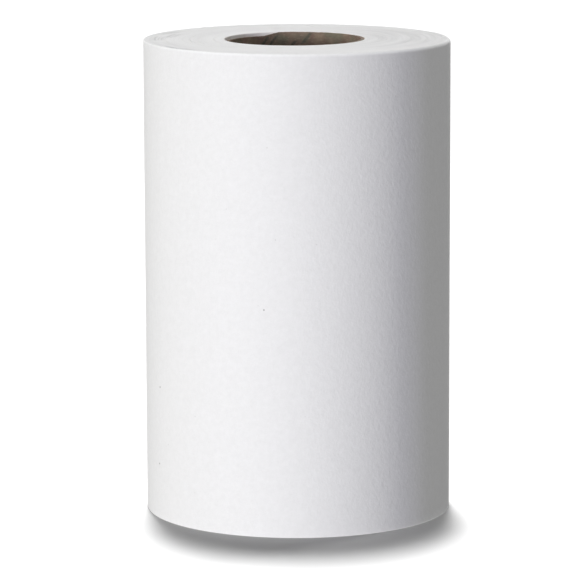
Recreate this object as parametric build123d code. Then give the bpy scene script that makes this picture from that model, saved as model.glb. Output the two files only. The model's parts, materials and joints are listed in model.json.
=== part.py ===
from build123d import *
import os
from math import floor

# A roll of paper towel wound on a card tube, standing on its end.
# Millimetres, +Z up, origin on the axis of the tube at the base.

# Sizes of the roll
ROLL_HEIGHT = 215.0  # width of the sheet, so the height of the standing roll
ROLL_DIAMETER = 139.0  # across the outer turn, at the free edge of the sheet
WINDING_OFFSET = 1.1  # how far the outer turns lie to one side of the tube
RIM_CHAMFER = 0.8  # softening of the cut edges round the rim
TAIL_STEP = 0.35  # step where the free edge of the sheet lies on the turn below
TAIL_ANGLE = 25.0  # direction of the free edge, behind the right-hand side

# Spiral relief on both ends, one groove for each bundle of turns
TURN_PITCH = 3.6  # growth in radius for each turn of the groove
GROOVE_WIDTH = 0.5
GROOVE_DEPTH = 0.4

# Sizes of the card tube
CORE_BORE = 60.0  # inside diameter
CORE_WALL = 1.6
CORE_STEP_DEPTH = 1.5  # how much shorter the tube is on its left side
CORE_STEP_FOOT = -13.9  # X where the slope up from the short side begins
CORE_STEP_HEAD = -7.4  # X where the slope reaches the full height
SEAM_PITCH = 130.0  # rise of the spiral butt seam in one turn
SEAM_WIDTH = 0.6
SEAM_DEPTH = 0.3
SEAM_TOP_ANGLE = 108.0  # where the seam comes out at the top of the tube

HALF_TURN = 180.0
FULL_TURN = 360.0
TOOL_MARGIN = 5.0  # how far a cutting tool reaches past what it cuts

# The first turn is stuck to the tube, so both share this radius
bore_radius = CORE_BORE / 2
core_radius = bore_radius + CORE_WALL


def ring_profile(inner, outer):
    """Section of a ring from inner to outer radius, its outer corners chamfered."""
    middle = Pos((inner + outer) / 2, ROLL_HEIGHT / 2)
    section = middle * Rectangle(outer - inner, ROLL_HEIGHT)
    corners = section.vertices().group_by(Axis.X)[-1]
    return Plane.XZ * chamfer(corners, RIM_CHAMFER)


def grooved_profile(inner, outer, grooves):
    """Section of a ring with a V groove in both ends at each of the given radii."""
    lower = [(inner, 0)]
    for radius in grooves:
        lower.append((radius - GROOVE_WIDTH / 2, 0))
        lower.append((radius, GROOVE_DEPTH))
        lower.append((radius + GROOVE_WIDTH / 2, 0))
    lower.append((outer, 0))
    upper = [(radius, ROLL_HEIGHT - height) for radius, height in reversed(lower)]
    return Plane.XZ * make_face(Polyline(lower + upper, close=True))


def two_centre_spiral(first_half, second_half, centre, growth):
    """Half a turn about one centre, then half a turn about a centre further along X.

    The second section lies further out by half the growth, so that the two halves meet
    at the end of the first and the spiral steps out by the growth where it closes.
    """
    second_centre = centre + growth / 2
    first = Pos(centre, 0) * revolve(first_half, Axis.Z, HALF_TURN)
    second = Pos(second_centre, 0) * revolve(second_half, Axis.Z, -HALF_TURN)
    return first + second


def make_wound_paper():
    """All the turns of the sheet as one solid, from the tube out to the free edge."""
    outer_turn = (ROLL_DIAMETER - TAIL_STEP) / 2
    outer_centre = WINDING_OFFSET - TAIL_STEP / 2
    hub = bore_radius / 2

    body = two_centre_spiral(
        ring_profile(hub, outer_turn),
        ring_profile(hub, outer_turn + TAIL_STEP / 2),
        outer_centre,
        TAIL_STEP,
    )

    # The grooves keep half a turn clear of the tube and of the rim
    clear_land = WINDING_OFFSET + TURN_PITCH / 2
    first_groove = core_radius + clear_land
    last_groove = outer_turn - RIM_CHAMFER - clear_land
    groove_count = floor((last_groove - first_groove) / TURN_PITCH)
    grooves = [first_groove + turn * TURN_PITCH for turn in range(groove_count)]
    half_turn_on = [radius + TURN_PITCH / 2 for radius in grooves]
    relief_radius = outer_turn + TOOL_MARGIN
    relief = two_centre_spiral(
        grooved_profile(hub, relief_radius, grooves),
        grooved_profile(hub, relief_radius + TURN_PITCH / 2, half_turn_on),
        WINDING_OFFSET / 2 - TURN_PITCH / 4,
        TURN_PITCH,
    )

    base = (Align.CENTER, Align.CENTER, Align.MIN)
    bore = Cylinder(core_radius, ROLL_HEIGHT, align=base)
    return Rot(0, 0, TAIL_ANGLE) * ((body & relief) - bore)


def make_seam():
    """Strip along the butt seam inside the tube, which climbs clockwise seen from above."""
    height = ROLL_HEIGHT + 2 * TOOL_MARGIN
    fall = (ROLL_HEIGHT + TOOL_MARGIN) / SEAM_PITCH * FULL_TURN
    path = Helix(SEAM_PITCH, height, bore_radius, lefthand=True)
    start = Plane(path @ 0, x_dir=(1, 0, 0), z_dir=path % 0)
    strip = sweep(start * Rectangle(2 * SEAM_DEPTH, SEAM_WIDTH), path, is_frenet=True)
    return Pos(0, 0, -TOOL_MARGIN) * Rot(0, 0, SEAM_TOP_ANGLE + fall) * strip


def make_core_tube():
    """Spiral-wound card tube, cut a little short on its left side at the top."""
    base = (Align.CENTER, Align.CENTER, Align.MIN)
    tube = Cylinder(core_radius, ROLL_HEIGHT, align=base)
    tube -= Cylinder(bore_radius, ROLL_HEIGHT, align=base)

    shelf = ROLL_HEIGHT - CORE_STEP_DEPTH
    slope = (CORE_STEP_HEAD - CORE_STEP_FOOT) / CORE_STEP_DEPTH
    far_left = -core_radius - TOOL_MARGIN
    step = Polyline(
        (far_left, shelf),
        (CORE_STEP_FOOT, shelf),
        (CORE_STEP_HEAD + slope * TOOL_MARGIN, ROLL_HEIGHT + TOOL_MARGIN),
        (far_left, ROLL_HEIGHT + TOOL_MARGIN),
        close=True,
    )
    notch = extrude(Plane.XZ * make_face(step), core_radius + TOOL_MARGIN, both=True)
    return tube - notch - make_seam()


os.makedirs("parts", exist_ok=True)
export_step(make_wound_paper(), "parts/wound_paper.step")
export_step(make_core_tube(), "parts/core_tube.step")
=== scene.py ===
import json
import math
from collections import namedtuple

import bpy
from mathutils import Matrix, Vector, noise


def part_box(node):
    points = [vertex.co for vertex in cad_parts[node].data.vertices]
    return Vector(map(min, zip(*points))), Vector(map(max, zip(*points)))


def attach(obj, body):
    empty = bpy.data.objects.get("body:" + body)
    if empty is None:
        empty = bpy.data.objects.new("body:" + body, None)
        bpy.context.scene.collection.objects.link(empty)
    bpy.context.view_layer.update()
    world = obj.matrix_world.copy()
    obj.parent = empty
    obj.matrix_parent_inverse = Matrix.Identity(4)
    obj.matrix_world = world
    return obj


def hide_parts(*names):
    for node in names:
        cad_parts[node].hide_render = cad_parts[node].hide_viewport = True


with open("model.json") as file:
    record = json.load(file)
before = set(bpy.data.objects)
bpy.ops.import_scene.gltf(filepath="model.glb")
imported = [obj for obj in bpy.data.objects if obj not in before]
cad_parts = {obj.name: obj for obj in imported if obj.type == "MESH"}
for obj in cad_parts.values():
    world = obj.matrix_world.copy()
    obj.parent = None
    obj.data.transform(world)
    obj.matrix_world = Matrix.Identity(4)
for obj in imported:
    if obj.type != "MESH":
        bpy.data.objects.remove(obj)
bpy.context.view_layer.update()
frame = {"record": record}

# Looks of a roll of paper towel and its card tube, built round their solids.
# Lengths are metres, angles are degrees, +Z is up and the tube's axis is the Z axis.
MM = 0.001
RIGHT_ANGLE = 90.0
FULL_TURN = 360.0
SHARP_ANGLE = 35.0  # a steeper corner than this is shown sharp

# Sizes taken from the solids
paper_low, paper_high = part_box("wound_paper")
core_low, core_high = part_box("core_tube")
ROLL_HEIGHT = paper_high.z
ROLL_CENTRE = (paper_low + paper_high) / 2
ROLL_RADIUS = (paper_high.x - paper_low.x) / 2
CORE_RADIUS = (core_high.x - core_low.x) / 2
MOUNTS = {mount["name"]: mount for mount in frame["record"]["mounts"]}
BORE_RADIUS = MOUNTS["core_bore"]["dims"]["r_mm"] * MM

# The wound sheet
COLUMNS = 256  # steps round the roll
WALL_STEPS = 80  # steps up the outer turn
BORE_STEPS = 8
BASE_RIM_RADIUS = 0.6 * MM  # the rim that the roll stands on is crisp
RIM_RADIUS = 1.0 * MM  # mean rounding of the upper rim
RIM_SOFTENING = 0.75  # share by which the rounding grows on the worn side of the rim
WORN_RIM_ANGLE = -45.0
RIM_STEPS = 5
BORE_EDGE = 0.4 * MM  # rounding where the ends meet the tube
BORE_EDGE_STEPS = 3

# Ripple of the outer turn: a pattern is how often it changes round the roll and up it, and its seed
WALL_RIPPLE = 0.07 * MM
SLOW_RIPPLE = (1.3, 2.0, 7.0)
FINE_RIPPLE = (5.0, 3.0, 0.0)
FINE_RIPPLE_SHARE = 0.5

# The free edge of the sheet
TAIL_ANGLE = 25.0  # its direction
TAIL_STEP = 0.35 * MM  # down to the turn below
TAIL_WIDTH = 0.12 * MM  # how far round the step reaches
TAIL_LIFT = 0.25 * MM  # how far it may stand off the turn below
TAIL_LIFT_ARC = 14.0  # how far back from it the sheet is loose
TAIL_LIFT_MIDDLE = 0.35  # share of the lift that is left at half height
TAIL_LIFT_MEAN = 0.75
TAIL_LIFT_CHANGE = 0.5  # how much the lift changes as the edge wanders
TAIL_WAVE = 0.9 * MM  # how far it wanders from a straight line
TAIL_WAVE_SEED = (3.3, 1.7)
TAIL_WAVES = 5.0  # over the height of the roll
TAIL_TEAR = 0.35 * MM  # how ragged it is
TAIL_TEAR_ARC = 1.0  # how far back from it the tear pulls the sheet
TAIL_TEAR_SEED = (8.1, 2.9)
TAIL_TEARS = 45.0  # over the height of the roll

# The turns on both ends: a pattern is how often it changes in a turn and from row to row, and its seed
TURN_PITCH = 3.6 * MM
ROWS_PER_TURN = 12
BUNDLE_RELIEF = 0.02 * MM
BUNDLE_MEAN = 1.6  # mean depth of a row, as a multiple of the relief
SLOW_BUNDLES = (3.1, 5.3, 2.2)
FINE_BUNDLES = (9.1, 3.7, 9.4)
FINE_BUNDLES_SHARE = 0.6
GROOVE_PHASE = 10  # the row of each turn that is a groove
GROOVE_DEPTH = 0.24 * MM
GROOVE_MEAN = 0.4  # mean opening, as a share of the depth
GROOVE_CHANGE = 0.9
GROOVE_LEAST = 0.1
GROOVE_WAVES = 2.3  # in a turn
GROOVE_SEED = (4.4, 1.2)

# The card tube
TUBE_COLUMNS = 192
TUBE_ROWS = 48
TUBE_GAP = 0.03 * MM  # between the tube and the first turn
PLY_ROWS = 6  # plies across the cut end
PLY_RELIEF = 0.08 * MM
CUT_ROUGHNESS = 0.10 * MM
CUT_WAVES = 0.7  # in a millimetre of the cut
CUT_SEED = 3.3
STEP_DEPTH = 1.5 * MM  # how much shorter the tube is on its left side
STEP_FOOT = -13.9 * MM  # X where the slope up from the short side begins
STEP_HEAD = -7.4 * MM  # X where the slope reaches the full height
SEAM_PITCH = 130.0 * MM  # rise of the spiral seam in one turn
SEAM_WIDTH = 0.6 * MM
SEAM_DEPTH = 0.3 * MM
SEAM_TOP_ANGLE = 108.0  # where the seam comes out at the top of the tube

# Colours of the paper
PAPER_WHITE = (0.866, 0.865, 0.864, 1.0)
PAPER_WARM = (0.854, 0.853, 0.850, 1.0)
PAPER_END = (0.83, 0.829, 0.828, 1.0)
# The deeper rings of the ends: partly their own greyer tone, partly painted shade
PAPER_END_DEEP_SHADE = (0.74, 0.739, 0.738, 1.0)
# The torn edge: a little greyer from loose fibres, and painted shade that dims its lit step
PAPER_TORN_SHADED = (0.6, 0.599, 0.598, 1.0)
PAPER_STUCK = (0.80, 0.78, 0.765, 1.0)
PAPER_STUCK_DARK = (0.70, 0.67, 0.64, 1.0)
# Grey of the painted shade on the ends
PAINTED_SHADE_COLOUR = (0.33, 0.33, 0.335, 1.0)
FLECK_COLOUR = (0.16, 0.14, 0.12, 1.0)

# Colours of the card
CARD_BROWN = (0.225, 0.172, 0.128, 1.0)
CARD_DARK = (0.145, 0.108, 0.082, 1.0)
CARD_PALE = (0.34, 0.28, 0.225, 1.0)
CARD_RED = (0.19, 0.118, 0.098, 1.0)
CARD_GREEN = (0.135, 0.14, 0.1, 1.0)
CARD_INK = (0.055, 0.075, 0.06, 1.0)

# Gloss: roughness and specular level
SHEET_GLOSS = (0.95, 0.15)
LOOSE_FIBRE_GLOSS = (1.0, 0.1)
CARD_GLOSS = (0.95, 0.15)

# Where most of a noise lies between 0 and 1, and its middle, which gives more contrast
NOISE_MOST = (0.3, 0.7)
NOISE_MIDDLE = (0.35, 0.65)
NOISE_MEAN = 0.5
WHOLE = (0.0, 1.0)

# Face of the sheet
MOTTLE_GRAIN = (3.6 * MM, 3.6 * MM)  # a grain is its size across the Z axis and along it
CREPE_GRAIN = (2.0 * MM, 2.2 * MM)
CREPE_SHADE = (0.980, 1.012)  # a shade is the darkest and the lightest that a grain makes a colour
CREPE_BUMP = 0.33
CREPE_HEIGHT = 0.45 * MM
FIBRE_GRAIN = (0.35 * MM, 0.5 * MM)
FIBRE_SHADE = (0.980, 1.016)
FIBRE_RELIEF = 0.12  # as a share of the crepe's
GLUE_GRAIN = (4 * MM, 2 * MM)

# Flecks in the paper: direction, height, radius and darkness
FLECKS = (
    (-102.3, 102.3 * MM, 0.50 * MM, 0.75),
    (-153.4, 60.9 * MM, 0.60 * MM, 0.75),
    (-154.4, 25.5 * MM, 0.60 * MM, 0.70),
    (-131.3, 51.6 * MM, 0.35 * MM, 0.35),
    (-97.9, 133.5 * MM, 0.35 * MM, 0.30),
    (-121.1, 132.6 * MM, 0.32 * MM, 0.25),
    (-116.6, 146.3 * MM, 0.32 * MM, 0.22),
    (-131.8, 16.8 * MM, 0.32 * MM, 0.25),
    (-119.3, 34.6 * MM, 0.32 * MM, 0.22),
    (-142.7, 107.0 * MM, 0.32 * MM, 0.25),
)
FLECK_CORE = 0.35  # share of the radius that is fully dark
SCATTER_SPACING = 11.0 * MM
SCATTER_CORE = 0.012  # as a share of the spacing
SCATTER_EDGE = 0.04
SCATTER_DARKNESS = 0.2

# Ends of the roll: a ring is its width and how far it runs before it changes
SHEET_RING = (0.28 * MM, 30 * MM)
SHEET_WEIGHT = 0.6
BUNDLE_RING = (1.5 * MM, 45 * MM)
BUNDLE_WEIGHT = 0.4
DEEP_RINGS = (0.5, 0.75)  # where the weighed rings begin to be deep, and where they are deepest
DEEP_SHADE_SHARE = (0.0, 0.6)
BAND_RING = (9 * MM, 80 * MM)
BAND_SHADE = (0.97, 1.02)
END_GRAIN = (0.5 * MM, 0.5 * MM)
END_SHADE = (0.985, 1.01)
END_RELIEF = 0.3  # as a share of the rings'
END_BUMP = 0.25
END_HEIGHT = 0.10 * MM
NEAR_CORE = 48 * MM  # out to here the ends are a little cleaner
NEAR_CORE_WHITE = 0.8

# Painted shade on the ends: direction, radius, half length, half width and darkness
# Painted shade of the gaps at slack turns near the rim
SLACK_TURN_SHADE = (
    (-140.0, 66.8 * MM, 13.0 * MM, 2.8 * MM, 0.85),
    (-150.0, 62.0 * MM, 24.0 * MM, 7.0 * MM, 0.09),
    (178.0, 62.0 * MM, 12.0 * MM, 4.0 * MM, 0.32),
    (165.0, 57.0 * MM, 12.0 * MM, 3.5 * MM, 0.32),
    (154.0, 63.0 * MM, 12.0 * MM, 3.5 * MM, 0.26),
)
# Painted shade: a broad darker patch on the side of the ends away from the key lamps
SHADED_SIDE_OF_END = (
    (6.0, 48.0 * MM, 64.0 * MM, 36.0 * MM, 0.17),
)
SHADE_CORE = 0.3  # share of the half length and half width that is fully dark
STREAK_RANGE = (0.36, 0.64)  # noise of the weakest and of the strongest streak
# Painted shade: marks, the rings that break them into streaks, and the weakest and strongest streak
PAINTED_SHADE = (
    (SLACK_TURN_SHADE, (1.1 * MM, 22 * MM), (0.15, 1.35)),
    (SHADED_SIDE_OF_END, (3.2 * MM, 40 * MM), (0.5, 1.5)),
)

# Face of the card
CARD_FIBRE_GRAIN = (1.4 * MM, 0.35 * MM)
CARD_BLOTCH_GRAIN = (6 * MM, 4 * MM)
CARD_STAIN_GRAIN = (9 * MM, 7 * MM)
CARD_SPECK_GRAIN = (0.4 * MM, 0.4 * MM)
CARD_SPECK_RELIEF = 0.4  # as a share of the fibre's
CARD_BUMP = 0.4
CARD_HEIGHT = 0.15 * MM
# Tints on the card: the range of a noise where a tint comes in, and its share at both ends
DARK_BLOTCHES = ((0.35, 0.7), WHOLE)
RED_STAINS = ((0.52, 0.66), (0.0, 0.7))
GREEN_STAINS = ((0.34, 0.46), (0.6, 0.0))
PALE_FIBRES = ((0.52, 0.75), (0.0, 0.7))

# Slanted dashes of ink in the tube: share of a turn and share of the period where a dash lies
INK_DASHES = ((0.1045, 0.21), (0.126, 0.50), (0.155, 0.72), (0.183, 0.29), (0.205, 0.33))
INK_SLANT = 240 * MM  # rise of a slanted line in one turn
INK_PERIOD = 13 * MM
INK_WIDTH = 0.006  # half width, as a share of a turn
INK_WIDTH_CORE = 0.3  # share of the half width that is fully dark
INK_LENGTH = 0.24  # half length, as a share of the period
INK_LENGTH_CORE = 0.6
INK_WEAR = (0.3, 0.65)  # from the specks that keep most ink to those that keep least
INK_LEFT = (0.95, 0.4)

# Floor and even light
WHITE = (1.0, 1.0, 1.0, 1.0)
FLOOR_SIZE = 40.0
FLOOR_COLOUR = (0.66, 0.66, 0.66, 1.0)
FILL_ABOVE = 0.14
FILL_BELOW = 0.16
HORIZON_BLEND = 0.1  # sine of the angle to the horizon within which one fill becomes the other

# Lamps, each with the direction and the height above the horizon that its light comes from
Lamp = namedtuple("Lamp", "name direction height level width lit tint")
PLAIN = (1.0, 1.0, 1.0)
LAMPS = (
    Lamp("key_lamp_left", -137.5, 4.0, 0.42, 8.0, "object", (1.08, 1.09, 0.84)),
    Lamp("key_lamp_front", -124.0, 4.0, 0.465, 8.0, "object", (0.925, 0.91, 1.165)),
    Lamp("fill_lamp_right", -41.0, 10.0, 0.18, 14.0, "object", PLAIN),
    Lamp("bounce_lamp", -90.0, -90.0, 0.4, 4.0, "object", PLAIN),
    Lamp("back_lamp", 80.0, 14.0, 0.58, 16.0, "object", PLAIN),
    Lamp("top_lamp", 100.0, 78.0, 0.483, 13.0, "object", PLAIN),
    Lamp("floor_lamp_side", 40.0, 45.0, 0.175, 12.0, "floor", PLAIN),
)
# The floor has a strip of lamps of its own, one above another behind the roll
FLOOR_LAMPS = 5
FLOOR_LAMP_DIRECTION = 94.0
FLOOR_LAMP_LOWEST = 73.4
FLOOR_LAMP_STEP = 2.2
FLOOR_LAMP_WIDTH = 5.7
FLOOR_LEVEL = 1.62  # of all of them together

# Camera, fitted to the outline of the roll in the photograph
CAMERA_EYE = Vector((0.0, -1686.8, 382.9)) * MM
CAMERA_AIM = Vector((-3.3, 0.0, 100.8)) * MM
CAMERA_ROLL = -0.2
CAMERA_LENS = 234.2  # in millimetres, as the sensor's width is
SENSOR_WIDTH = 36.0


def smooth(low, high, value):
    """0 at low, 1 at high and an even S curve between."""
    x = min(max((value - low) / (high - low), 0.0), 1.0)
    return x * x * (3 - 2 * x)


def toward(angle):
    """Unit vector in a direction in radians, seen from above."""
    return Vector((math.cos(angle), math.sin(angle)))


def noise_at(x, y, z):
    """Smooth noise between -1 and 1, the same in every run."""
    return noise.noise(Vector((x, y, z)))


class Surface:
    """Points and faces of one closed mesh, gathered and then made into an object."""

    def __init__(self):
        self.points = []
        self.faces = []
        self.slots = []

    def point(self, x, y, z):
        """Adds a point and gives its number."""
        self.points.append((x, y, z))
        return len(self.points) - 1

    def face(self, corners, slot):
        """Adds a face through the corners, with repeated corners left out."""
        kept = [corner for i, corner in enumerate(corners) if corner != corners[i - 1]]
        if len(kept) >= 3:
            self.faces.append(kept)
            self.slots.append(slot)

    def strip(self, lower, upper, slot, closing_slot=None):
        """Adds faces between two closed rings, which face away from the axis if lower is below.

        The last face, which closes the rings, may have a slot of its own.
        """
        slots = [slot] * len(lower)
        if closing_slot is not None:
            slots[-1] = closing_slot
        for i in range(len(lower)):
            k = (i + 1) % len(lower)
            self.face((lower[i], lower[k], upper[k], upper[i]), slots[i])

    def make(self, name, materials):
        """The object, with its materials in the order of the slots."""
        mesh = bpy.data.meshes.new(name)
        mesh.from_pydata(self.points, [], self.faces)
        for material in materials:
            mesh.materials.append(material)
        mesh.polygons.foreach_set("material_index", self.slots)
        mesh.polygons.foreach_set("use_smooth", [True] * len(self.faces))
        mesh.update()
        mesh.set_sharp_from_angle(angle=math.radians(SHARP_ANGLE))
        piece = bpy.data.objects.new(name, mesh)
        bpy.context.scene.collection.objects.link(piece)
        return piece


# The wound sheet

def column_turns():
    """How far round each column lies, from 0 at the free edge to just short of 1."""
    even = [i / (COLUMNS - 1) for i in range(COLUMNS - 1)]
    return even + [1 - TAIL_WIDTH / (math.tau * ROLL_RADIUS)]


TURNS = column_turns()


def column_angle(turn):
    """Direction of a column in radians."""
    return math.radians(TAIL_ANGLE) + turn * math.tau


def core_point(turn, height, inset):
    """A point of the first turn, inset from the face that lies on the tube, the same at any height."""
    return toward(column_angle(turn)) * (CORE_RADIUS + inset)


def wall_ripple(angle, share):
    """How far the outer turn stands out, in a direction and at a share of the height."""
    facing = toward(angle)

    def pattern(round_roll, up_roll, seed):
        return noise_at(facing.x * round_roll, facing.y * round_roll, share * up_roll + seed)

    return WALL_RIPPLE * (pattern(*SLOW_RIPPLE) + FINE_RIPPLE_SHARE * pattern(*FINE_RIPPLE))


def rim_point(turn, height, inset):
    """A point of the outer turn, inset from its face, with the sheet's slack in it."""
    angle = column_angle(turn)
    share = height / ROLL_HEIGHT
    to_tail = (1 - turn) * FULL_TURN
    from_edge = min(to_tail, turn * FULL_TURN)
    wander = noise_at(*TAIL_WAVE_SEED, share * TAIL_WAVES)
    torn = noise_at(*TAIL_TEAR_SEED, share * TAIL_TEARS)

    loose = 1 - smooth(0.0, TAIL_LIFT_ARC, to_tail)
    corner = TAIL_LIFT_MIDDLE + (1 - TAIL_LIFT_MIDDLE) * (2 * share - 1) ** 2
    lift = TAIL_LIFT * loose * corner * (TAIL_LIFT_MEAN + TAIL_LIFT_CHANGE * wander)
    radius = ROLL_RADIUS - TAIL_STEP * (1 - turn) + wall_ripple(angle, share) + lift - inset

    along = TAIL_WAVE * wander * (1 - smooth(0.0, TAIL_LIFT_ARC, from_edge))
    along += TAIL_TEAR * torn * (1 - smooth(0.0, TAIL_TEAR_ARC, from_edge))
    return ROLL_CENTRE.xy + toward(angle + along / ROLL_RADIUS) * radius


def rim_radius(turn):
    """Rounding of the upper rim, which is handled and worn on one side."""
    toward_worn = math.cos(column_angle(turn) - math.radians(WORN_RIM_ANGLE))
    return RIM_RADIUS * (1 + RIM_SOFTENING * toward_worn)


def turn_relief(row, turn):
    """How far one row of an end lies below its edge: bundles of turns and the grooves between."""
    phase = row % ROWS_PER_TURN
    along = row // ROWS_PER_TURN + turn

    def pattern(in_turn, from_row_to_row, seed):
        return noise_at(along * in_turn, phase * from_row_to_row, seed)

    bundle = pattern(*SLOW_BUNDLES) + FINE_BUNDLES_SHARE * pattern(*FINE_BUNDLES)
    depth = BUNDLE_RELIEF * (BUNDLE_MEAN + bundle)
    if phase == GROOVE_PHASE:
        opening = GROOVE_MEAN + GROOVE_CHANGE * noise_at(along * GROOVE_WAVES, *GROOVE_SEED)
        depth += GROOVE_DEPTH * max(opening, GROOVE_LEAST)
    return depth


def add_end(surface, bore_ring, rim_ring, height, outward, slot):
    """One end of the roll, in rows of points that follow the spiral of the turns.

    A row that runs past the bore or the rim stops there, and where a turn closes each row
    goes on as the row one pitch further out. Outward is 1 on the upper end and -1 on the lower.
    """
    spacing = TURN_PITCH / ROWS_PER_TURN
    inner = [Vector(surface.points[point][:2]) for point in bore_ring]
    outer = [Vector(surface.points[point][:2]) for point in rim_ring]
    widths = [(b - a).length for a, b in zip(inner, outer)]
    row_count = math.ceil(max(widths) / spacing) + ROWS_PER_TURN + 1

    def place(row, column):
        """The point of a row in a column, or the point of the bore or rim where it stops."""
        turn = TURNS[column]
        across = spacing * (row - ROWS_PER_TURN) + TURN_PITCH * turn
        left = widths[column] - across
        if across < spacing / 2:
            return bore_ring[column]
        if left < spacing / 2:
            return rim_ring[column]
        spot = inner[column].lerp(outer[column], across / widths[column])
        depth = turn_relief(row, turn)
        return surface.point(spot.x, spot.y, height - outward * depth)

    rows = [[place(row, column) for column in range(COLUMNS)] for row in range(row_count)]
    for row in range(row_count - 1):
        for column in range(COLUMNS):
            following = column + 1
            shift = 0
            if following == COLUMNS:
                following = 0
                shift = ROWS_PER_TURN
            if row + 1 + shift < row_count:
                corners = (
                    rows[row][column],
                    rows[row + 1][column],
                    rows[row + 1 + shift][following],
                    rows[row + shift][following],
                )
                surface.face(corners[::outward], slot)


def wall_section(lower_edge, upper_edge, edge_steps, wall_steps):
    """Inset and height of each point up a wall, its lower and upper corners rounded."""
    quarter = [math.radians(RIGHT_ANGLE * step / edge_steps) for step in range(edge_steps + 1)]
    curve = [(1 - math.sin(a), 1 - math.cos(a)) for a in quarter]
    straight = ROLL_HEIGHT - lower_edge - upper_edge
    lower = [(inset * lower_edge, height * lower_edge) for inset, height in curve]
    wall = [(0.0, lower_edge + straight * step / wall_steps) for step in range(1, wall_steps)]
    upper = [(inset * upper_edge, ROLL_HEIGHT - height * upper_edge) for inset, height in curve]
    return lower + wall + upper[::-1]


def make_wound_paper(side, end, torn, stuck):
    """The whole wound sheet as one closed mesh: bore, both ends, rims and outer turn."""
    surface = Surface()
    # The torn edge's material is greyer as painted shade on its lit step
    materials = (side, end, torn, stuck)
    side_slot, end_slot, shaded_edge_slot, stuck_slot = range(len(materials))

    def rings(place, sections):
        """Rings of points up one wall, from the section of each column."""
        made = []
        for level in zip(*sections):
            ring = []
            for turn, (inset, height) in zip(TURNS, level):
                spot = place(turn, height, inset)
                ring.append(surface.point(spot.x, spot.y, height))
            made.append(ring)
        return made

    outer = rings(rim_point, [
        wall_section(BASE_RIM_RADIUS, rim_radius(turn), RIM_STEPS, WALL_STEPS) for turn in TURNS
    ])
    bore = rings(core_point, [
        wall_section(BORE_EDGE, BORE_EDGE, BORE_EDGE_STEPS, BORE_STEPS) for turn in TURNS
    ])
    # The face that closes each ring of the outer turn is the torn edge, with its painted shade
    for lower, upper in zip(outer, outer[1:]):
        surface.strip(lower, upper, side_slot, shaded_edge_slot)
    for lower, upper in zip(bore, bore[1:]):
        surface.strip(upper, lower, stuck_slot)
    add_end(surface, bore[0], outer[0], 0.0, -1, end_slot)
    add_end(surface, bore[-1], outer[-1], ROLL_HEIGHT, 1, end_slot)
    return surface.make("wound_paper_turns", materials)


# The card tube

def tube_top(x):
    """Height of the tube's upper end, which is cut short on its left side."""
    rise = min(max((x - STEP_FOOT) / (STEP_HEAD - STEP_FOOT), 0.0), 1.0)
    return ROLL_HEIGHT - STEP_DEPTH * (1 - rise)


def make_core_tube(card):
    """The card tube, in columns that follow its spiral seam, with the seam as a groove."""
    surface = Surface()
    card_slot = 0
    half_seam = math.degrees(SEAM_WIDTH / 2 / BORE_RADIUS)
    even = FULL_TURN - 2 * half_seam
    offsets = [0.0] + [half_seam + even * i / TUBE_COLUMNS for i in range(TUBE_COLUMNS + 1)]

    def ring(share, radius, seam_depth, drop=0.0):
        """Points round the tube at a share of its height, with its upper end lowered by drop."""
        turned = SEAM_TOP_ANGLE + (1 - share) * ROLL_HEIGHT / SEAM_PITCH * FULL_TURN
        made = []
        for number, offset in enumerate(offsets):
            angle = math.radians(turned + offset)
            reach = radius + (seam_depth if number == 0 else 0.0)
            x = reach * math.cos(angle)
            y = reach * math.sin(angle)
            rough = CUT_ROUGHNESS * noise_at(x / MM * CUT_WAVES, y / MM * CUT_WAVES, CUT_SEED)
            top = tube_top(x) - CUT_ROUGHNESS + rough - drop
            made.append(surface.point(x, y, share * top))
        return made

    outside = CORE_RADIUS - TUBE_GAP
    shares = [row / TUBE_ROWS for row in range(TUBE_ROWS + 1)]
    inner = [ring(share, BORE_RADIUS, SEAM_DEPTH) for share in shares]
    outer = [ring(share, outside, 0.0) for share in shares]
    for lower, upper in zip(inner, inner[1:]):
        surface.strip(upper, lower, card_slot)
    for lower, upper in zip(outer, outer[1:]):
        surface.strip(lower, upper, card_slot)

    plies = [inner[-1]]
    for ply in range(1, PLY_ROWS):
        radius = BORE_RADIUS + (outside - BORE_RADIUS) * ply / PLY_ROWS
        plies.append(ring(1.0, radius, 0.0, PLY_RELIEF * (ply % 2)))
    plies.append(outer[-1])
    for nearer, further in zip(plies, plies[1:]):
        surface.strip(further, nearer, card_slot)
    surface.strip(inner[0], outer[0], card_slot)
    return surface.make("card_core_tube", (card,))


# Materials

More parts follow.
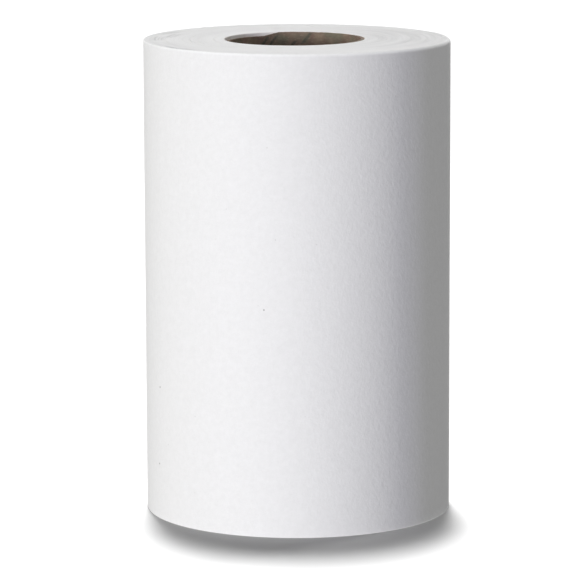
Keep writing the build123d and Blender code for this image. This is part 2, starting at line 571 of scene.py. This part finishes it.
class Graph:
    """A material's node tree, with short calls for the nodes that the materials share."""

    def __init__(self, name):
        self.material = bpy.data.materials.new(name)
        self.material.use_nodes = True
        self.tree = self.material.node_tree
        self.shader = self.tree.nodes["Principled BSDF"]
        coordinates = self.tree.nodes.new("ShaderNodeTexCoord")
        self.place = coordinates.outputs["Object"]

    def feed(self, socket, value):
        """Links a socket to another one, or sets it to a plain value."""
        if isinstance(value, bpy.types.NodeSocket):
            self.tree.links.new(value, socket)
        else:
            socket.default_value = value

    def math(self, operation, *values):
        """The result of one operation on plain values."""
        node = self.tree.nodes.new("ShaderNodeMath")
        node.operation = operation
        for socket, value in zip(node.inputs, values):
            self.feed(socket, value)
        return node.outputs["Value"]

    def apart(self, first, second):
        """How far apart two values are."""
        return self.math("ABSOLUTE", self.math("SUBTRACT", first, second))

    def vector(self, operation, *values):
        """The result of one operation on vectors."""
        node = self.tree.nodes.new("ShaderNodeVectorMath")
        node.operation = operation
        for socket, value in zip(node.inputs, values):
            self.feed(socket, value)
        return node.outputs["Value" if operation in ("DISTANCE", "LENGTH") else "Vector"]

    def split(self, vector):
        """The X, Y and Z of a vector."""
        node = self.tree.nodes.new("ShaderNodeSeparateXYZ")
        self.feed(node.inputs[0], vector)
        return node.outputs

    def join(self, x, y, z):
        """A vector with the given X, Y and Z."""
        node = self.tree.nodes.new("ShaderNodeCombineXYZ")
        for socket, value in zip(node.inputs, (x, y, z)):
            self.feed(socket, value)
        return node.outputs[0]

    def noise(self, vector, detail=2.0, roughness=0.5):
        """Noise between 0 and 1, with a grain of one unit of the vector."""
        node = self.tree.nodes.new("ShaderNodeTexNoise")
        self.feed(node.inputs["Vector"], vector)
        node.inputs["Scale"].default_value = 1.0
        node.inputs["Detail"].default_value = detail
        node.inputs["Roughness"].default_value = roughness
        return node.outputs["Fac"]

    def grain(self, size, detail=2.0, roughness=0.5):
        """Noise with a size across the Z axis and a size along it."""
        across, along = size
        scaled = self.vector("MULTIPLY", self.place, (1 / across, 1 / across, 1 / along))
        return self.noise(scaled, detail, roughness)

    def span(self, value, source, target):
        """A value carried over from one range to another, and held at the ends of it."""
        node = self.tree.nodes.new("ShaderNodeMapRange")
        for socket, number in zip(node.inputs, (value, *source, *target)):
            self.feed(socket, number)
        return node.outputs["Result"]

    def fade(self, distance, core, edge, level=1.0):
        """The level as far as the core, and less and less of it out to the edge."""
        return self.span(distance, (core, edge), (level, 0.0))

    def mix(self, factor, first, second):
        """A colour between the first, at a factor of 0, and the second, at 1."""
        node = self.tree.nodes.new("ShaderNodeMix")
        node.data_type = "RGBA"
        sockets = [socket for socket in node.inputs if socket.enabled]
        for socket, value in zip(sockets, (factor, first, second)):
            self.feed(socket, value)
        return [socket for socket in node.outputs if socket.enabled][0]

    def shade(self, colour, pattern, shades):
        """A colour that a noise makes darker and lighter."""
        value = self.span(pattern, NOISE_MOST, shades)
        return self.vector("MULTIPLY", colour, self.join(value, value, value))

    def bump(self, height, strength, distance):
        """Fine relief, at most the distance high, on the shader's normal."""
        node = self.tree.nodes.new("ShaderNodeBump")
        node.inputs["Strength"].default_value = strength
        node.inputs["Distance"].default_value = distance
        self.feed(node.inputs["Height"], height)
        self.feed(self.shader.inputs["Normal"], node.outputs["Normal"])

    def finish(self, colour, roughness, specular):
        """The material, with its colour and gloss."""
        self.feed(self.shader.inputs["Base Color"], colour)
        self.shader.inputs["Roughness"].default_value = roughness
        self.shader.inputs["Specular IOR Level"].default_value = specular
        return self.material


def fleck_mask(graph):
    """Dark flecks at their own places, and a thin scatter of faint ones all over."""
    total = 0.0
    for direction, height, radius, darkness in FLECKS:
        flat = ROLL_CENTRE.xy + toward(math.radians(direction)) * ROLL_RADIUS
        distance = graph.vector("DISTANCE", graph.place, (flat.x, flat.y, height))
        mark = graph.fade(distance, FLECK_CORE * radius, radius, darkness)
        total = graph.math("ADD", total, mark)

    cells = graph.tree.nodes.new("ShaderNodeTexVoronoi")
    graph.feed(cells.inputs["Vector"], graph.place)
    cells.inputs["Scale"].default_value = 1 / SCATTER_SPACING
    scatter = graph.fade(cells.outputs["Distance"], SCATTER_CORE, SCATTER_EDGE, SCATTER_DARKNESS)
    return graph.math("ADD", total, scatter)


def paper_side():
    """Creped tissue: fine ridges, fibre mottle and flecks."""
    graph = Graph("paper_side")
    mottle = graph.grain(MOTTLE_GRAIN, detail=3.0, roughness=0.65)
    crepe = graph.grain(CREPE_GRAIN, roughness=0.55)
    fibre = graph.grain(FIBRE_GRAIN)

    colour = graph.mix(graph.span(mottle, NOISE_MIDDLE, WHOLE), PAPER_WHITE, PAPER_WARM)
    colour = graph.shade(colour, crepe, CREPE_SHADE)
    colour = graph.shade(colour, fibre, FIBRE_SHADE)
    colour = graph.mix(fleck_mask(graph), colour, FLECK_COLOUR)

    relief = graph.math("ADD", crepe, graph.math("MULTIPLY", fibre, FIBRE_RELIEF))
    graph.bump(relief, CREPE_BUMP, CREPE_HEIGHT)
    return graph.finish(colour, *SHEET_GLOSS)


def paper_torn_shaded():
    """The torn free edge: a little greyer from loose fibres, and painted shade that dims its lit step.
    """
    return Graph("paper_torn_shaded").finish(PAPER_TORN_SHADED, *LOOSE_FIBRE_GLOSS)


def paper_stuck():
    """The face of the first turn, with glue and card fibres from the tube."""
    graph = Graph("paper_stuck")
    glue = graph.grain(GLUE_GRAIN, detail=3.0)
    colour = graph.mix(graph.span(glue, NOISE_MIDDLE, WHOLE), PAPER_STUCK, PAPER_STUCK_DARK)
    return graph.finish(colour, *LOOSE_FIBRE_GLOSS)


def painted_shade_mask(graph, flat, radius, marks):
    """Painted shade in soft grey marks drawn out along the turns: gaps at slack turns, the end's
    darker side.
    """
    total = 0.0
    for direction, middle, half_length, half_width, darkness in marks:
        angle = math.radians(direction)
        spot = (math.cos(angle) * middle, math.sin(angle) * middle, 0.0)
        away = graph.vector("DISTANCE", flat, spot)
        across = graph.apart(radius, middle)
        lengthwise = graph.fade(away, SHADE_CORE * half_length, half_length, darkness)
        crosswise = graph.fade(across, SHADE_CORE * half_width, half_width)
        total = graph.math("ADD", total, graph.math("MULTIPLY", lengthwise, crosswise))
    return total


def paper_end():
    """Cut edges of the turns: fine rings, the deeper ones painted darker as shade, and painted shade
    in marks.
    """
    graph = Graph("paper_end")
    x, y = graph.split(graph.place)[:2]
    flat = graph.join(x, y, 0.0)
    radius = graph.vector("LENGTH", flat)

    def rings(size):
        """Noise in rings of one width, which change slowly along their length."""
        width, along = size
        drift = graph.split(graph.vector("MULTIPLY", graph.place, (1 / along, 1 / along, 0.0)))
        return graph.noise(graph.join(graph.math("DIVIDE", radius, width), drift[0], drift[1]))

    sheets = rings(SHEET_RING)
    bundles = rings(BUNDLE_RING)
    fibre = graph.grain(END_GRAIN, detail=3.0)

    fine = graph.math("MULTIPLY", sheets, SHEET_WEIGHT)
    dark = graph.math("ADD", fine, graph.math("MULTIPLY", bundles, BUNDLE_WEIGHT))
    # Deeper rings painted darker: partly their own tone, partly painted shade
    colour = graph.mix(graph.span(dark, DEEP_RINGS, DEEP_SHADE_SHARE), PAPER_END, PAPER_END_DEEP_SHADE)
    colour = graph.shade(colour, fibre, END_SHADE)
    colour = graph.shade(colour, rings(BAND_RING), BAND_SHADE)
    near_core = graph.fade(radius, CORE_RADIUS, NEAR_CORE, NEAR_CORE_WHITE)
    colour = graph.mix(near_core, colour, PAPER_WHITE)
    # Painted shade, broken into streaks along the turns
    for marks, ring, strength in PAINTED_SHADE:
        streaks = graph.span(rings(ring), STREAK_RANGE, strength)
        shaded = graph.math("MULTIPLY", painted_shade_mask(graph, flat, radius, marks), streaks)
        colour = graph.mix(shaded, colour, PAINTED_SHADE_COLOUR)

    relief = graph.math("SUBTRACT", graph.math("MULTIPLY", fibre, END_RELIEF), sheets)
    graph.bump(relief, END_BUMP, END_HEIGHT)
    return graph.finish(colour, *LOOSE_FIBRE_GLOSS)


def ink_mask(graph, blur, speck):
    """Worn dashes of ink on slanted lines round the tube."""
    x, y, z = graph.split(graph.place)
    turn = graph.math("DIVIDE", graph.math("ARCTAN2", y, x), math.tau)
    strip = graph.math("FRACT", graph.math("ADD", turn, graph.math("DIVIDE", z, INK_SLANT)))
    strip = graph.math("ADD", strip, blur)
    below = graph.math("DIVIDE", graph.math("SUBTRACT", ROLL_HEIGHT, z), INK_PERIOD)
    period = graph.math("FRACT", below)
    ink = 0.0
    for centre, phase in INK_DASHES:
        across = graph.apart(strip, centre)
        line = graph.fade(across, INK_WIDTH_CORE * INK_WIDTH, INK_WIDTH)
        along = graph.apart(period, phase)
        dash = graph.fade(along, INK_LENGTH_CORE * INK_LENGTH, INK_LENGTH)
        ink = graph.math("ADD", ink, graph.math("MULTIPLY", line, dash))
    return graph.math("MULTIPLY", ink, graph.span(speck, INK_WEAR, INK_LEFT))


def card_board():
    """Grey-brown board: blotches, stains and pale fibres, and worn dashes of ink."""
    graph = Graph("card_board")
    fibre = graph.grain(CARD_FIBRE_GRAIN, detail=4.0, roughness=0.65)
    blotch = graph.grain(CARD_BLOTCH_GRAIN, detail=3.0)
    stain = graph.grain(CARD_STAIN_GRAIN)
    speck = graph.grain(CARD_SPECK_GRAIN)

    tints = (
        (blotch, DARK_BLOTCHES, CARD_DARK),
        (stain, RED_STAINS, CARD_RED),
        (stain, GREEN_STAINS, CARD_GREEN),
        (fibre, PALE_FIBRES, CARD_PALE),
    )
    colour = CARD_BROWN
    for pattern, (source, share), tint in tints:
        colour = graph.mix(graph.span(pattern, source, share), colour, tint)
    blur = graph.math("MULTIPLY", graph.math("SUBTRACT", blotch, NOISE_MEAN), INK_WIDTH)
    colour = graph.mix(ink_mask(graph, blur, speck), colour, CARD_INK)

    relief = graph.math("ADD", fibre, graph.math("MULTIPLY", speck, CARD_SPECK_RELIEF))
    graph.bump(relief, CARD_BUMP, CARD_HEIGHT)
    return graph.finish(colour, *CARD_GLOSS)


# Floor, light and camera

def seen_directly(tree):
    """1 for rays from the camera, and for what mirrors and glass would show, else 0."""
    path = tree.nodes.new("ShaderNodeLightPath")
    total = path.outputs["Is Camera Ray"]
    for name in ("Is Glossy Ray", "Is Transmission Ray"):
        most = tree.nodes.new("ShaderNodeMath")
        most.operation = "MAXIMUM"
        tree.links.new(total, most.inputs[0])
        tree.links.new(path.outputs[name], most.inputs[1])
        total = most.outputs[0]
    return total


def make_floor():
    """A pale floor that shows the shadow; the even light from below comes from the world."""
    mesh = bpy.data.meshes.new("floor")
    half = FLOOR_SIZE / 2
    corners = [(-half, -half, 0), (half, -half, 0), (half, half, 0), (-half, half, 0)]
    mesh.from_pydata(corners, [], [(0, 1, 2, 3)])
    floor = bpy.data.objects.new("floor", mesh)
    bpy.context.scene.collection.objects.link(floor)
    floor.visible_diffuse = False
    floor.visible_shadow = False

    material = bpy.data.materials.new("pale_floor")
    material.use_nodes = True
    shader = material.node_tree.nodes["Principled BSDF"]
    shader.inputs["Base Color"].default_value = FLOOR_COLOUR
    shader.inputs["Roughness"].default_value = 1.0
    shader.inputs["Specular IOR Level"].default_value = 0.0
    mesh.materials.append(material)
    return floor


def make_world():
    """Even fill, one level from above and one from below, and white where it is seen."""
    world = bpy.data.worlds.new("studio")
    world.use_nodes = True
    tree = world.node_tree
    fill = tree.nodes["Background"]
    fill.inputs["Color"].default_value = WHITE
    direction = tree.nodes.new("ShaderNodeTexCoord")
    parts = tree.nodes.new("ShaderNodeSeparateXYZ")
    tree.links.new(direction.outputs["Generated"], parts.inputs[0])
    level = tree.nodes.new("ShaderNodeMapRange")
    tree.links.new(parts.outputs["Z"], level.inputs["Value"])
    level.inputs["From Min"].default_value = -HORIZON_BLEND
    level.inputs["From Max"].default_value = HORIZON_BLEND
    level.inputs["To Min"].default_value = FILL_BELOW
    level.inputs["To Max"].default_value = FILL_ABOVE
    tree.links.new(level.outputs["Result"], fill.inputs["Strength"])

    white = tree.nodes.new("ShaderNodeBackground")
    white.inputs["Color"].default_value = WHITE
    mix = tree.nodes.new("ShaderNodeMixShader")
    tree.links.new(seen_directly(tree), mix.inputs[0])
    tree.links.new(fill.outputs[0], mix.inputs[1])
    tree.links.new(white.outputs[0], mix.inputs[2])
    tree.links.new(mix.outputs[0], tree.nodes["World Output"].inputs["Surface"])
    bpy.context.scene.world = world


def lamp_targets(floor):
    """What each kind of lamp lights: the floor alone, or everything but the floor."""
    targets = {}
    for name, state in (("floor", "INCLUDE"), ("object", "EXCLUDE")):
        targets[name] = bpy.data.collections.new("lit_" + name)
        targets[name].objects.link(floor)
        targets[name].collection_objects[0].light_linking.link_state = state
    return targets


def floor_lamps():
    """The strip of lamps behind the roll, which share one level."""
    level = FLOOR_LEVEL / FLOOR_LAMPS
    lamps = []
    for number in range(FLOOR_LAMPS):
        name = f"floor_lamp_{number}"
        height = FLOOR_LAMP_LOWEST + FLOOR_LAMP_STEP * number
        lamps.append(Lamp(name, FLOOR_LAMP_DIRECTION, height, level, FLOOR_LAMP_WIDTH, "floor", PLAIN))
    return lamps


def make_lamps(floor):
    """Distant soft lamps. A level of 1 lights a facing white surface to white."""
    targets = lamp_targets(floor)
    for lamp in [*LAMPS, *floor_lamps()]:
        light = bpy.data.lights.new(lamp.name, "SUN")
        light.energy = lamp.level * math.pi
        light.color = lamp.tint
        light.angle = math.radians(lamp.width)
        thing = bpy.data.objects.new(lamp.name, light)
        height = math.radians(lamp.height)
        flat = toward(math.radians(lamp.direction)) * math.cos(height)
        source = Vector((flat.x, flat.y, math.sin(height)))
        thing.rotation_mode = "QUATERNION"
        thing.rotation_quaternion = source.to_track_quat("Z", "Y")
        thing.light_linking.receiver_collection = targets[lamp.lit]
        bpy.context.scene.collection.objects.link(thing)


def make_camera():
    """The camera at the photograph's viewing angle, with a slight roll."""
    camera = bpy.data.cameras.new("camera")
    camera.lens = CAMERA_LENS
    camera.sensor_width = SENSOR_WIDTH
    camera.clip_end = FLOOR_SIZE
    thing = bpy.data.objects.new("camera", camera)
    forward = (CAMERA_AIM - CAMERA_EYE).normalized()
    right = forward.cross(Vector((0, 0, 1))).normalized()
    up = right.cross(forward)
    level = Matrix((right, up, -forward)).transposed()
    turned = level @ Matrix.Rotation(math.radians(CAMERA_ROLL), 3, "Z")
    thing.matrix_world = Matrix.Translation(CAMERA_EYE) @ turned.to_4x4()
    bpy.context.scene.collection.objects.link(thing)
    bpy.context.scene.camera = thing


wound_paper = make_wound_paper(paper_side(), paper_end(), paper_torn_shaded(), paper_stuck())
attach(wound_paper, "root")
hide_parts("wound_paper")

core_tube = make_core_tube(card_board())
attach(core_tube, "root")
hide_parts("core_tube")

stage_floor = make_floor()
make_world()
make_lamps(stage_floor)
make_camera()
bpy.context.scene.view_settings.view_transform = "Standard"
